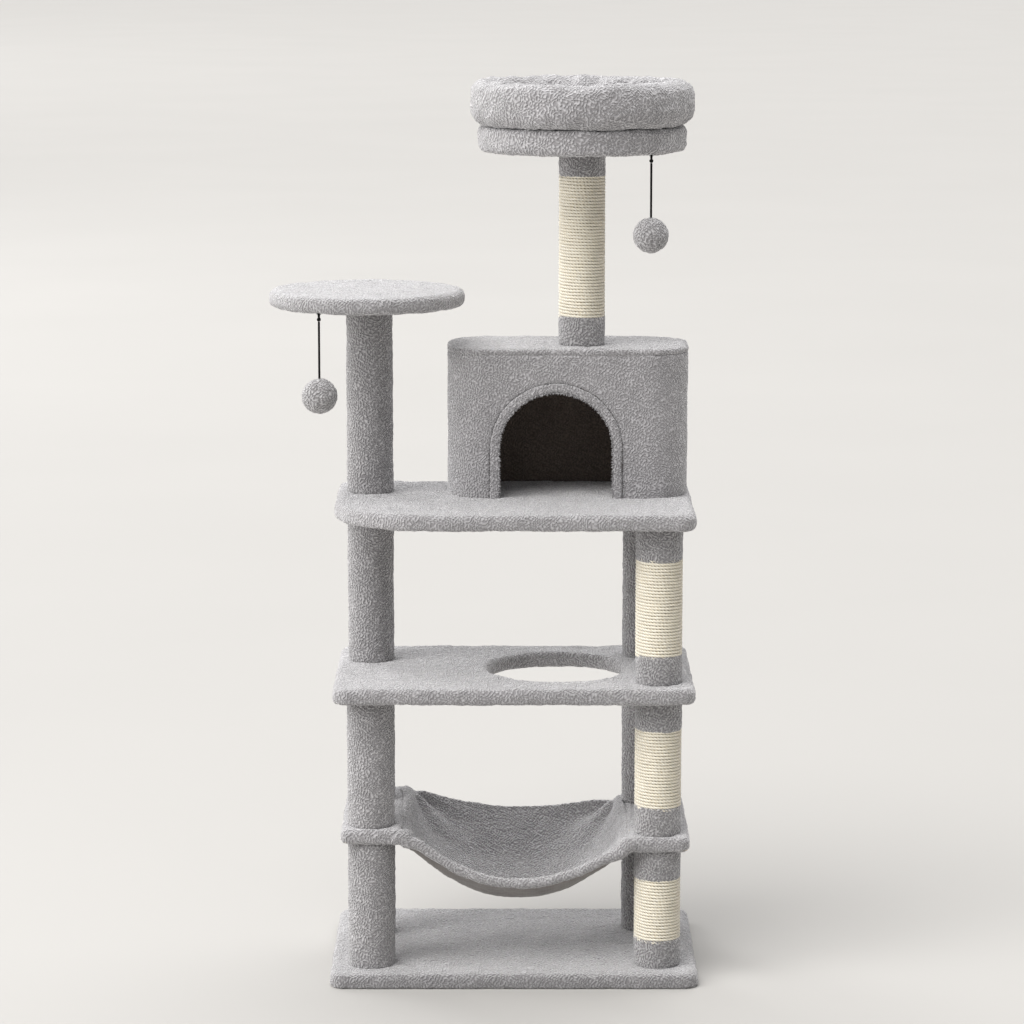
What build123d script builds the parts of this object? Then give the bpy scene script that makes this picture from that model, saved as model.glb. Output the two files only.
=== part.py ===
"""Cat tree: a floor-standing climbing frame of plush-covered boards on round posts.

A base board, a sling hammock, a shelf with a climbing hole, a second shelf with a small
house on it, a round perch and a stuffed ring bed are stacked on cardboard-tube posts that
are bolted end to end. Two plush balls hang on cords. Millimetres, +Z up, +Y to the back,
origin on the floor under the middle of the whole outline.
"""
import os

from build123d import *

os.makedirs("parts", exist_ok=True)

# --- Driving dimensions ---------------------------------------------------------------------
# Boards: (centre x, centre y), width along X and depth along Y, outside the plush.
base_centre = (49.0, -16.0)
base_width, base_depth, base_height = 590.0, 400.0, 23.0
shelf_centre = (49.0, -31.0)
shelf_width, shelf_depth, shelf_height = 576.0, 356.0, 26.0
corner_radius = 24.0
swept_corner_radius = 150.0
edge_round = 10.0
under_round = 7.0
board_thickness = 16.0
plush = 5.0

# Heights of the undersides, from the floor up.
hammock_left_z, hammock_right_z = 228.0, 215.0
mid_shelf_z, upper_shelf_z = 461.0, 740.0
perch_z, bed_z = 1075.0, 1321.0

# Posts: a cardboard tube in a plush sleeve, or in sisal rope between two plush bands.
post_radius = 37.5
tube_radius, tube_wall = 32.5, 4.0
plug_thickness = 15.0
front_left, back_left = (-180.0, -142.0), (-185.0, 39.0)
front_right, back_right = (280.0, -142.0), (266.0, 72.0)
bed_post = (159.0, 34.0)

# Climbing hole in the lower shelf.
climb_hole_centre, climb_hole_radius = (119.0, -26.0), 111.0

# Hammock: two boards in the pockets of one sewn cloth.
pocket_width, pocket_depth, pocket_height = 100.0, 304.0, 26.0
pocket_left_x, pocket_right_x, pocket_y = -178.5, 281.0, -36.0
cloth = 4.0
sling_thickness = 6.0

# House on the upper shelf.
house_centre = (136.5, 53.0)
house_width, house_depth, house_corner = 389.0, 186.0, 65.0
house_wall_height = 233.0
wall_board, wall_lining = 4.0, 1.5
roof_board_thickness, roof_pad = 15.0, 9.0
door_centre_x, door_half_width, door_straight, door_binding = 117.0, 92.0, 80.0, 14.0

# Round perch and ring bed.
perch_centre, perch_radius = (-187.0, -1.0), 157.0
bed_radius = 167.0
bed_height = 41.0  # a shelf's height and 15 mm of wadding under the plush on top
ring_radius, ring_tube_radius = 136.0, 45.0
ring_seat = 13.0  # how far the ring is pressed into its own round where it is sewn down

# Hanging balls: where each cord is stapled, and the height of the ball's centre.
left_toy, left_ball_z = (-258.0, -126.0), 944.0
right_toy, right_ball_z = (266.0, -78.0), 1194.0
ball_radius = 28.0
cord_radius = 1.75
staple_wire_radius, staple_half_span, staple_drop, staple_leg = 0.8, 3.2, 1.5, 12.0
loop_radius, knot_radius = 3.6, 3.2
pocket_radius = 6.8  # plush parted round a staple, so that its loop sits up in the pile
running_gap = 0.3

# Fasteners, M8.
thread_radius = 4.0
clearance_radius = 4.3
barrel_radius, barrel_length = 5.0, 9.0
flange_radius, flange_thickness = 10.0, 1.5
head_radius, head_height, washer_radius, washer_thickness = 7.0, 5.6, 11.0, 1.8
counterbore_radius, counterbore_depth = 12.0, 8.0

# --- Worked-out heights ---------------------------------------------------------------------
base_top = base_height
base_board_z = base_height - plush - board_thickness
mid_shelf_top = mid_shelf_z + shelf_height
upper_shelf_top = upper_shelf_z + shelf_height
roof_board_z = upper_shelf_top + house_wall_height - roof_board_thickness
roof_pad_z = upper_shelf_top + house_wall_height
roof_top = roof_pad_z + roof_pad
bed_top = bed_z + bed_height

# Every post section: where it stands, its foot and its head.
left_posts = [front_left, back_left]
right_posts = [front_right, back_right]
sections = {
    "lower_front_left": (front_left, base_top, hammock_left_z),
    "lower_back_left": (back_left, base_top, hammock_left_z),
    "lower_front_right": (front_right, base_top, hammock_right_z),
    "lower_back_right": (back_right, base_top, hammock_right_z),
    "middle_front_left": (front_left, hammock_left_z + pocket_height, mid_shelf_z),
    "middle_back_left": (back_left, hammock_left_z + pocket_height, mid_shelf_z),
    "middle_front_right": (front_right, hammock_right_z + pocket_height, mid_shelf_z),
    "middle_back_right": (back_right, hammock_right_z + pocket_height, mid_shelf_z),
    "upper_left": (back_left, mid_shelf_top, upper_shelf_z),
    "upper_front_right": (front_right, mid_shelf_top, upper_shelf_z),
    "upper_back_right": (back_right, mid_shelf_top, upper_shelf_z),
    "perch": (back_left, upper_shelf_top, perch_z),
    "bed": (bed_post, roof_top, bed_z),
}
# Plush bands below and above the sisal, on the posts that are wound with rope.
sisal_bands = {
    "lower_front_right": (46.0, 50.0),
    "middle_front_right": (46.0, 52.0),
    "upper_front_right": (47.0, 56.0),
    "bed": (47.0, 42.0),
}


def save(part, name):
    """Label a finished piece and write its STEP file."""
    part.label = name
    export_step(part, f"parts/{name}.step")


def plate(centre, width, depth, radius, swept=None):
    """Board outline in the current sketch; swept is a larger radius for the front left corner."""
    with Locations(centre):
        Rectangle(width, depth)
    sketch = BuildSketch._get_context()
    corner = (centre[0] - width / 2, centre[1] - depth / 2)
    by_distance = sketch.vertices().sort_by_distance(corner)
    if swept is None:
        fillet(by_distance, radius)
    else:
        fillet(by_distance[1:], radius)
        fillet(sketch.vertices().sort_by_distance(corner)[0], swept)


def at(points, z):
    """The plan points lifted to one height."""
    return [(x, y, z) for x, y in points]


# --- Base -------------------------------------------------------------------------------------
post_feet = left_posts + right_posts

with BuildPart() as base_board:
    with BuildSketch(Plane.XY.offset(base_board_z)):
        plate(base_centre, base_width - 2 * plush, base_depth - 2 * plush, corner_radius - plush)
    extrude(amount=board_thickness)
    with Locations(*[Plane((x, y, base_board_z), z_dir=(0, 0, -1)) for x, y in post_feet]):
        CounterBoreHole(clearance_radius, counterbore_radius, counterbore_depth)
save(base_board.part, "base_board")

# Plush wraps the top and sides and turns under the edge by 30 mm.
underside_return = 30.0
with BuildPart() as base_cover:
    with BuildSketch():
        plate(base_centre, base_width, base_depth, corner_radius)
    extrude(amount=base_height)
    fillet(base_cover.edges().group_by(Axis.Z)[-1], edge_round)
    fillet(base_cover.edges().group_by(Axis.Z)[0], base_board_z)
    with BuildSketch(Plane.XY.offset(base_board_z)):
        plate(base_centre, base_width - 2 * plush, base_depth - 2 * plush, corner_radius - plush)
    extrude(amount=board_thickness, mode=Mode.SUBTRACT)
    with BuildSketch():
        plate(base_centre, base_width - 2 * underside_return, base_depth - 2 * underside_return,
              corner_radius)
    extrude(amount=base_board_z, mode=Mode.SUBTRACT)
    with Locations(*at(post_feet, base_height)):
        Hole(clearance_radius, depth=2 * plush)
save(base_cover.part, "base_cover")

# Thin black cloth over the underside, punched where the bolts go in.
lining_gap = 0.4
with BuildPart() as base_lining:
    with BuildSketch(Plane.XY.offset(lining_gap)):
        plate(base_centre, base_width - 2 * underside_return, base_depth - 2 * underside_return,
              corner_radius)
        with Locations(*post_feet):
            Circle(counterbore_radius, mode=Mode.SUBTRACT)
    extrude(amount=base_board_z - lining_gap)
save(base_lining.part, "base_lining")

washer_z = base_board_z + counterbore_depth - washer_thickness
with BuildPart() as base_washers:
    with BuildSketch(Plane.XY.offset(washer_z)):
        with Locations(*post_feet):
            Circle(washer_radius)
            Circle(clearance_radius, mode=Mode.SUBTRACT)
    extrude(amount=washer_thickness)
save(base_washers.part, "base_washers")

socket_across_flats, socket_depth = 6.0, 3.5
bolt_length = base_top + plug_thickness - washer_z
with BuildPart() as base_bolts:
    with BuildSketch(Plane.XY.offset(washer_z - head_height)):
        with Locations(*post_feet):
            Circle(head_radius)
    extrude(amount=head_height)
    with BuildSketch(Plane.XY.offset(washer_z)):
        with Locations(*post_feet):
            Circle(thread_radius)
    extrude(amount=bolt_length)
    with BuildSketch(Plane.XY.offset(washer_z - head_height)):
        with Locations(*post_feet):
            RegularPolygon(socket_across_flats / 2, 6, major_radius=False)
    extrude(amount=socket_depth, mode=Mode.SUBTRACT)
save(base_bolts.part, "base_bolts")

# --- Post cores -------------------------------------------------------------------------------
# Tubes of one length are cut alike, so each length is one node.
tube_groups = {
    "tubes_lower_left": ["lower_front_left", "lower_back_left"],
    "tubes_lower_right": ["lower_front_right", "lower_back_right"],
    "tubes_middle_left": ["middle_front_left", "middle_back_left"],
    "tubes_middle_right": ["middle_front_right", "middle_back_right"],
    "tubes_upper": ["upper_left", "upper_front_right", "upper_back_right"],
    "tube_perch": ["perch"],
    "tube_bed": ["bed"],
}
for group_name, members in tube_groups.items():
    foot, head = sections[members[0]][1:]
    with BuildPart() as tubes:
        with BuildSketch(Plane.XY.offset(foot)):
            with Locations(*[sections[member][0] for member in members]):
                Circle(tube_radius)
                Circle(tube_radius - tube_wall, mode=Mode.SUBTRACT)
        extrude(amount=head - foot)
    save(tubes.part, group_name)

# A wooden disc closes each tube end, with a tee nut pulled in from behind.
plug_radius = tube_radius - tube_wall - 0.1
with BuildPart() as end_plugs:
    for position, foot, head in sections.values():
        for plug_z in (foot, head - plug_thickness):
            with BuildSketch(Plane.XY.offset(plug_z)):
                with Locations(position):
                    Circle(plug_radius)
                    Circle(barrel_radius + 0.1, mode=Mode.SUBTRACT)
            extrude(amount=plug_thickness)
save(end_plugs.part, "end_plugs")

# Tee nuts: (position, height of the flange's outer face, direction the barrel points).
nut_places = []
for position, foot, head in sections.values():
    nut_places.append((position, foot + plug_thickness + flange_thickness, -1))
    nut_places.append((position, head - plug_thickness - flange_thickness, 1))
# Where a post ends under a board, the nut is let into the board's far face instead.
board_nuts = [
    (front_left, mid_shelf_z + plush + board_thickness, -1),
    (front_right, upper_shelf_z + plush + board_thickness, -1),
    (back_right, upper_shelf_z + plush + board_thickness, -1),
    (back_left, perch_z + plush + board_thickness, -1),
    (bed_post, roof_board_z, 1),
    (bed_post, bed_z + plush + board_thickness, -1),
]
with BuildPart() as tee_nuts:
    for (x, y), flange_z, way in nut_places + board_nuts:
        with BuildSketch(Plane((x, y, flange_z), x_dir=(1, 0, 0), z_dir=(0, 0, way))):
            Circle(flange_radius)
            Circle(thread_radius + 0.05, mode=Mode.SUBTRACT)
        extrude(amount=flange_thickness)
        with BuildSketch(Plane((x, y, flange_z + way * flange_thickness), z_dir=(0, 0, way))):
            Circle(barrel_radius)
            Circle(thread_radius + 0.05, mode=Mode.SUBTRACT)
        extrude(amount=barrel_length)
save(tee_nuts.part, "tee_nuts")

# Threaded rods join each post to the board or the post above it.
rod_end = plug_thickness + 3.0
rod_spans = []
for position, board_z, far_z in (
    (front_left, hammock_left_z, hammock_left_z + pocket_height + rod_end),
    (back_left, hammock_left_z, hammock_left_z + pocket_height + rod_end),
    (front_right, hammock_right_z, hammock_right_z + pocket_height + rod_end),
    (back_right, hammock_right_z, hammock_right_z + pocket_height + rod_end),
    (front_left, mid_shelf_z, mid_shelf_z + plush + board_thickness),
    (back_left, mid_shelf_z, mid_shelf_top + rod_end),
    (front_right, mid_shelf_z, mid_shelf_top + rod_end),
    (back_right, mid_shelf_z, mid_shelf_top + rod_end),
    (back_left, upper_shelf_z, upper_shelf_top + rod_end),
    (front_right, upper_shelf_z, upper_shelf_z + plush + board_thickness),
    (back_right, upper_shelf_z, upper_shelf_z + plush + board_thickness),
    (back_left, perch_z, perch_z + plush + board_thickness),
    (bed_post, bed_z, bed_z + plush + board_thickness),
):
    rod_spans.append((position, board_z - rod_end, far_z))
rod_spans.append((bed_post, roof_board_z, roof_top + rod_end))
with BuildPart() as threaded_rods:
    for position, low_z, high_z in rod_spans:
        with BuildSketch(Plane.XY.offset(low_z)):
            with Locations(position):
                Circle(thread_radius)
        extrude(amount=high_z - low_z)
save(threaded_rods.part, "threaded_rods")

# --- Post coverings ---------------------------------------------------------------------------
for section_name, (position, foot, head) in sections.items():
    bands = sisal_bands.get(section_name)
    if bands is None:
        with BuildPart() as sleeve:
            with BuildSketch(Plane.XY.offset(foot)):
                with Locations(position):
                    Circle(post_radius)
                    Circle(tube_radius, mode=Mode.SUBTRACT)
            extrude(amount=head - foot)
        save(sleeve.part, f"sleeve_{section_name}")
        continue
    low_band, high_band = bands
    with BuildPart() as plush_bands:
        for band_z, band_height in ((foot, low_band), (head - high_band, high_band)):
            with BuildSketch(Plane.XY.offset(band_z)):
                with Locations(position):
                    Circle(post_radius)
                    Circle(tube_radius, mode=Mode.SUBTRACT)
            extrude(amount=band_height)
    save(plush_bands.part, f"bands_{section_name}")
    with BuildPart() as sisal:
        with BuildSketch(Plane.XY.offset(foot + low_band)):
            with Locations(position):
                Circle(post_radius - 0.3)
                Circle(tube_radius, mode=Mode.SUBTRACT)
        extrude(amount=head - foot - low_band - high_band)
    save(sisal.part, f"sisal_{section_name}")

# --- Hammock ----------------------------------------------------------------------------------
pockets = {
    "left": (pocket_left_x, hammock_left_z, left_posts),
    "right": (pocket_right_x, hammock_right_z, right_posts),
}
pocket_round = 8.0
for side, (pocket_x, pocket_z, posts) in pockets.items():
    with BuildPart() as hammock_board:
        with BuildSketch(Plane.XY.offset(pocket_z + cloth)):
            plate((pocket_x, pocket_y), pocket_width - 2 * cloth, pocket_depth - 2 * cloth, 10)
            with Locations(*posts):
                Circle(clearance_radius, mode=Mode.SUBTRACT)
        extrude(amount=pocket_height - 2 * cloth)
    save(hammock_board.part, f"hammock_board_{side}")

# The sling hangs between the pockets: sections along Y, each with its own sag in the middle.
sling_left_x = pocket_left_x + pocket_width / 2 - 2
sling_right_x = pocket_right_x - pocket_width / 2 + 2
sling_left_z = hammock_left_z + pocket_height / 2
sling_right_z = hammock_right_z + pocket_height / 2
front_y = pocket_y - pocket_depth / 2
sling_sag = {0.0: 168.0, 0.17: 134.0, 0.4: 114.0, 0.7: 146.0, 1.0: 218.0}


def sling_section(y, mid_z):
    """Upright slice through the sling at depth y, lowest at mid_z half way across."""
    half = sling_thickness / 2
    middle_x = (sling_left_x + sling_right_x) / 2
    with BuildSketch(Plane((0, y, 0), x_dir=(1, 0, 0), z_dir=(0, -1, 0))) as section:
        with BuildLine():
            upper = ThreePointArc((sling_left_x, sling_left_z + half), (middle_x, mid_z + half),
                                  (sling_right_x, sling_right_z + half))
            lower = ThreePointArc((sling_left_x, sling_left_z - half), (middle_x, mid_z - half),
                                  (sling_right_x, sling_right_z - half))
            Line(upper @ 0, lower @ 0)
            Line(upper @ 1, lower @ 1)
        make_face()
    return section.sketch


with BuildPart() as hammock_cloth:
    for pocket_x, pocket_z, posts in pockets.values():
        with BuildPart(mode=Mode.PRIVATE) as pocket:
            with BuildSketch(Plane.XY.offset(pocket_z)):
                plate((pocket_x, pocket_y), pocket_width, pocket_depth, 14)
            extrude(amount=pocket_height)
            fillet(pocket.edges().group_by(Axis.Z)[-1], pocket_round)
            fillet(pocket.edges().group_by(Axis.Z)[0], pocket_round)
        add(pocket.part)
    loft([sling_section(front_y + share * pocket_depth, mid_z) for share, mid_z in sling_sag.items()])
    for pocket_x, pocket_z, posts in pockets.values():
        with BuildSketch(Plane.XY.offset(pocket_z + cloth)):
            plate((pocket_x, pocket_y), pocket_width - 2 * cloth, pocket_depth - 2 * cloth, 10)
        extrude(amount=pocket_height - 2 * cloth, mode=Mode.SUBTRACT)
        with BuildSketch(Plane.XY.offset(pocket_z)):
            with Locations(*posts):
                Circle(clearance_radius)
        extrude(amount=pocket_height, mode=Mode.SUBTRACT)
save(hammock_cloth.part, "hammock_cloth")

# --- Shelves ----------------------------------------------------------------------------------
inner_width, inner_depth = shelf_width - 2 * plush, shelf_depth - 2 * plush
board_hole_radius = climb_hole_radius + plush

with BuildPart() as mid_shelf_board:
    with BuildSketch(Plane.XY.offset(mid_shelf_z + plush)):
        plate(shelf_centre, inner_width, inner_depth, corner_radius - plush)
        with Locations(climb_hole_centre):
            Circle(board_hole_radius, mode=Mode.SUBTRACT)
    extrude(amount=board_thickness)
    with Locations(*at([back_left, front_right, back_right], mid_shelf_top)):
        Hole(clearance_radius, depth=shelf_height)
    with Locations((*front_left, mid_shelf_z + plush + board_thickness)):
        CounterBoreHole(barrel_radius + 0.1, flange_radius + 0.5, flange_thickness)
save(mid_shelf_board.part, "mid_shelf_board")

with BuildPart() as mid_shelf_cover:
    with BuildSketch(Plane.XY.offset(mid_shelf_z)):
        plate(shelf_centre, shelf_width, shelf_depth, corner_radius)
    extrude(amount=shelf_height)
    fillet(mid_shelf_cover.edges().group_by(Axis.Z)[-1], edge_round)
    fillet(mid_shelf_cover.edges().group_by(Axis.Z)[0], under_round)
    with Locations((*climb_hole_centre, mid_shelf_top)):
        Hole(climb_hole_radius)
    rims = mid_shelf_cover.edges().filter_by(GeomType.CIRCLE)
    rims = [rim for rim in rims if abs(rim.radius - climb_hole_radius) < 0.01]
    fillet(rims, edge_round)
    with BuildSketch(Plane.XY.offset(mid_shelf_z + plush)):
        plate(shelf_centre, inner_width, inner_depth, corner_radius - plush)
        with Locations(climb_hole_centre):
            Circle(board_hole_radius, mode=Mode.SUBTRACT)
    extrude(amount=board_thickness, mode=Mode.SUBTRACT)
    with Locations(*at([back_left, front_right, back_right], mid_shelf_top)):
        Hole(clearance_radius, depth=shelf_height)
    with Locations((*front_left, mid_shelf_z + plush)):
        Hole(clearance_radius, depth=plush)
save(mid_shelf_cover.part, "mid_shelf_cover")

with BuildPart() as upper_shelf_board:
    with BuildSketch(Plane.XY.offset(upper_shelf_z + plush)):
        plate(shelf_centre, inner_width, inner_depth, corner_radius - plush,
              swept_corner_radius - plush)
    extrude(amount=board_thickness)
    with Locations((*back_left, upper_shelf_top)):
        Hole(clearance_radius, depth=shelf_height)
    with Locations(*at(right_posts, upper_shelf_z + plush + board_thickness)):
        CounterBoreHole(barrel_radius + 0.1, flange_radius + 0.5, flange_thickness)
save(upper_shelf_board.part, "upper_shelf_board")

with BuildPart() as upper_shelf_cover:
    with BuildSketch(Plane.XY.offset(upper_shelf_z)):
        plate(shelf_centre, shelf_width, shelf_depth, corner_radius, swept_corner_radius)
    extrude(amount=shelf_height)
    fillet(upper_shelf_cover.edges().group_by(Axis.Z)[-1], edge_round)
    fillet(upper_shelf_cover.edges().group_by(Axis.Z)[0], under_round)
    with BuildSketch(Plane.XY.offset(upper_shelf_z + plush)):
        plate(shelf_centre, inner_width, inner_depth, corner_radius - plush,
              swept_corner_radius - plush)
    extrude(amount=board_thickness, mode=Mode.SUBTRACT)
    with Locations((*back_left, upper_shelf_top)):
        Hole(clearance_radius, depth=shelf_height)
    with Locations(*at(right_posts, upper_shelf_z + plush)):
        Hole(clearance_radius, depth=plush)
save(upper_shelf_cover.part, "upper_shelf_cover")


# --- House ------------------------------------------------------------------------------------
def house_outline(inset):
    """Plan of the house, this far inside its plush."""
    plate(house_centre, house_width - 2 * inset, house_depth - 2 * inset, house_corner - inset)


house_front = house_centre[1] - house_depth / 2


def doorway(proud, widen):
    """Doorway on a plane this far in front of the wall: straight sides under a half-round head."""
    half = door_half_width + widen
    spring = upper_shelf_top + door_straight
    left, right = door_centre_x - half, door_centre_x + half
    with BuildSketch(Plane((0, house_front - proud, 0), x_dir=(1, 0, 0), z_dir=(0, -1, 0))) as outline:
        with BuildLine():
            Polyline((left, spring), (left, upper_shelf_top), (right, upper_shelf_top),
                     (right, spring))
            ThreePointArc((right, spring), (door_centre_x, spring + half), (left, spring))
        make_face()
    return outline.sketch


bound_doorway = doorway(0, door_binding)
door_cut = -2 * (plush + wall_board + wall_lining)
# One strip of hardboard bent round the plan and closed at the back.
with BuildPart() as house_wall:
    with BuildSketch(Plane.XY.offset(upper_shelf_top)):
        house_outline(plush)
    extrude(amount=roof_board_z - upper_shelf_top)
    with BuildSketch(Plane.XY.offset(upper_shelf_top)):
        house_outline(plush + wall_board)
    extrude(amount=roof_board_z - upper_shelf_top, mode=Mode.SUBTRACT)
    extrude(bound_doorway, amount=door_cut, mode=Mode.SUBTRACT)
save(house_wall.part, "house_wall")

seam_round = 3.0
with BuildPart() as house_cover:
    with BuildSketch(Plane.XY.offset(upper_shelf_top)):
        house_outline(0)
    extrude(amount=house_wall_height)
    fillet(house_cover.edges().group_by(Axis.Z)[-1], seam_round)
    with BuildSketch(Plane.XY.offset(upper_shelf_top)):
        house_outline(plush)
    extrude(amount=house_wall_height, mode=Mode.SUBTRACT)
    extrude(bound_doorway, amount=door_cut, mode=Mode.SUBTRACT)
save(house_cover.part, "house_cover")

with BuildPart() as house_lining:
    with BuildSketch(Plane.XY.offset(upper_shelf_top)):
        house_outline(plush + wall_board)
    extrude(amount=roof_board_z - upper_shelf_top)
    with BuildSketch(Plane.XY.offset(upper_shelf_top)):
        house_outline(plush + wall_board + wall_lining)
    extrude(amount=roof_board_z - wall_lining - upper_shelf_top, mode=Mode.SUBTRACT)
    extrude(bound_doorway, amount=door_cut, mode=Mode.SUBTRACT)
save(house_lining.part, "house_lining")

# The plush binding fills the rim of the doorway through the wall and stands 3 mm proud of it.
binding_proud = 3.0
binding_depth = binding_proud + plush + wall_board + wall_lining
with BuildPart() as door_binding_part:
    extrude(doorway(binding_proud, door_binding), amount=-binding_depth)
    extrude(doorway(binding_proud, 0), amount=-binding_depth, mode=Mode.SUBTRACT)
save(door_binding_part.part, "house_door_binding")

with BuildPart() as house_roof_board:
    with BuildSketch(Plane.XY.offset(roof_board_z)):
        house_outline(plush)
    extrude(amount=roof_board_thickness)
    with Locations(Plane((*bed_post, roof_board_z), z_dir=(0, 0, -1))):
        CounterBoreHole(barrel_radius + 0.1, flange_radius + 0.5, flange_thickness)
save(house_roof_board.part, "house_roof_board")

with BuildPart() as house_roof_cover:
    with BuildSketch(Plane.XY.offset(roof_pad_z)):
        house_outline(0)
    extrude(amount=roof_pad)
    fillet(house_roof_cover.edges().group_by(Axis.Z)[-1], roof_pad - seam_round)
    with Locations((*bed_post, roof_top)):
        Hole(clearance_radius)
save(house_roof_cover.part, "house_roof_cover")

# --- Perch and bed discs ----------------------------------------------------------------------
discs = {
    "perch": (perch_centre, perch_radius, perch_z, shelf_height, back_left, left_toy),
    "bed": (bed_post, bed_radius, bed_z, bed_height, bed_post, right_toy),
}
for disc_name, (centre, radius, disc_z, height, post, toy) in discs.items():
    staple_feet = [(toy[0] - staple_half_span, toy[1]), (toy[0] + staple_half_span, toy[1])]
    with BuildPart() as disc_board:
        with BuildSketch(Plane.XY.offset(disc_z + plush)):
            with Locations(centre):
                Circle(radius - plush)
        extrude(amount=board_thickness)
        with Locations((*post, disc_z + plush + board_thickness)):
            CounterBoreHole(barrel_radius + 0.1, flange_radius + 0.5, flange_thickness)
        with Locations(*[Plane((x, y, disc_z + plush), z_dir=(0, 0, -1)) for x, y in staple_feet]):
            Hole(staple_wire_radius + 0.1, depth=staple_leg)
    save(disc_board.part, f"{disc_name}_board")
    with BuildPart() as disc_cover:
        with BuildSketch(Plane.XY.offset(disc_z)):
            with Locations(centre):
                Circle(radius)
        extrude(amount=height)
        fillet(disc_cover.edges().group_by(Axis.Z)[-1], edge_round)
        fillet(disc_cover.edges().group_by(Axis.Z)[0], edge_round)
        with BuildSketch(Plane.XY.offset(disc_z + plush)):
            with Locations(centre):
                Circle(radius - plush)
        extrude(amount=board_thickness, mode=Mode.SUBTRACT)
        with Locations((*post, disc_z + plush)):
            Hole(clearance_radius, depth=plush)
        with Locations((*toy, disc_z + plush)):
            Hole(pocket_radius, depth=plush)
    save(disc_cover.part, f"{disc_name}_cover")

# Stuffed ring, flat where it is sewn down on the bed.
ring_z = bed_top + ring_tube_radius - ring_seat
with BuildPart() as bed_ring:
    with BuildSketch(Plane((*bed_post, 0), x_dir=(1, 0, 0), z_dir=(0, -1, 0))):
        with Locations((ring_radius, ring_z)):
            Circle(ring_tube_radius)
    revolve(axis=Axis((*bed_post, 0), (0, 0, 1)))
    split(bisect_by=Plane.XY.offset(bed_top), keep=Keep.TOP)
save(bed_ring.part, "bed_ring")

# --- Hanging balls ----------------------------------------------------------------------------
toys = {"left": (left_toy, left_ball_z, perch_z), "right": (right_toy, right_ball_z, bed_z)}

# Wire staples driven up into the discs, each holding one cord loop.
with BuildPart() as toy_staples:
    for (x, y), ball_z, disc_z in toys.values():
        leg_top = disc_z + plush + staple_leg - 2
        bridge = disc_z - staple_drop
        with BuildLine() as staple_path:
            FilletPolyline((x - staple_half_span, y, leg_top), (x - staple_half_span, y, bridge),
                           (x + staple_half_span, y, bridge), (x + staple_half_span, y, leg_top),
                           radius=2 * staple_wire_radius)
        with BuildSketch(Plane((x - staple_half_span, y, leg_top), z_dir=(0, 0, -1))):
            Circle(staple_wire_radius)
        sweep(path=staple_path.wire())
save(toy_staples.part, "toy_staples")

for side, ((x, y), ball_z, disc_z) in toys.items():
    pivot_z = disc_z - staple_drop
    loop_z = pivot_z - (loop_radius - cord_radius - staple_wire_radius - running_gap)
    knot_z = loop_z - loop_radius - cord_radius - knot_radius / 2
    # Loop of cord through the staple, tied off in a knot: it rocks on the staple's wire.
    with BuildPart() as toy_loop:
        with BuildSketch(Plane((x, y, loop_z))):
            with Locations((0, loop_radius)):
                Circle(cord_radius)
        revolve(axis=Axis((x, y, loop_z), (1, 0, 0)))
        with Locations((x, y, knot_z)):
            Sphere(knot_radius)
    save(toy_loop.part, f"toy_{side}_loop")

    cord_top = knot_z - knot_radius - running_gap
    cord_foot = ball_z + ball_radius - 8.0
    with BuildPart() as toy_cord:
        with BuildSketch(Plane.XY.offset(cord_foot)):
            with Locations((x, y)):
                Circle(cord_radius)
        extrude(amount=cord_top - cord_foot)
    save(toy_cord.part, f"toy_{side}_cord")

    with BuildPart() as toy_ball:
        with Locations((x, y, ball_z)):
            Sphere(ball_radius)
        with BuildSketch(Plane.XY.offset(cord_foot)):
            with Locations((x, y)):
                Circle(cord_radius + 0.05)
        extrude(amount=ball_radius, mode=Mode.SUBTRACT)
    save(toy_ball.part, f"toy_{side}_ball")
    print(f"toy {side}: pivots at z {pivot_z:.2f} and {knot_z:.2f}, cord {cord_top - cord_foot:.1f} mm")
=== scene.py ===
import math

import bmesh
import bpy
import numpy as np
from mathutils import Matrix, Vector


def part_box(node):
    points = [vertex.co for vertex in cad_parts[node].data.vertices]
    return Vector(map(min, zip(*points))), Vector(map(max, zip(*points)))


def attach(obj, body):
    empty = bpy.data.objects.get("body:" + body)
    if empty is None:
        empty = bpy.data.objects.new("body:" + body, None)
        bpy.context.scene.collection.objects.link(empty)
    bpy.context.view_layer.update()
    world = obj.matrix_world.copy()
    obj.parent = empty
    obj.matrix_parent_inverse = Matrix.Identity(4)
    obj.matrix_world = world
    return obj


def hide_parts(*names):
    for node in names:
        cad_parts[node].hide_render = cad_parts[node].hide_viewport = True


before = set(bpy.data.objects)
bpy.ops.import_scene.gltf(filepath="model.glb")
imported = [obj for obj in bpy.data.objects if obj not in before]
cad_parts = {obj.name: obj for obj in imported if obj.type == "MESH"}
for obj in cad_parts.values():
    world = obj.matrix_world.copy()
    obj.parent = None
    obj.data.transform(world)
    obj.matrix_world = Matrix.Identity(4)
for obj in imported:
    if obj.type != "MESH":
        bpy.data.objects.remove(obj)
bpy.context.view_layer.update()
scene = bpy.context.scene


# ---------------------------------------------------------------------------
# The view: a long lens a little above the middle of the tree, looking down on
# its shelves, square to the front of the base.
camera = bpy.data.objects.new("camera", bpy.data.cameras.new("camera"))
camera.data.lens = 128.94
camera.data.sensor_width = 36.0
camera.data.shift_y = -0.0186
camera.data.clip_end = 500.0
camera.location = (0.04618, -5.87083, 1.72939)
camera.rotation_euler = (math.radians(90 - 9.296), 0.0, 0.0)
scene.collection.objects.link(camera)
scene.camera = camera
scene.view_settings.view_transform = "Standard"


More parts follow.
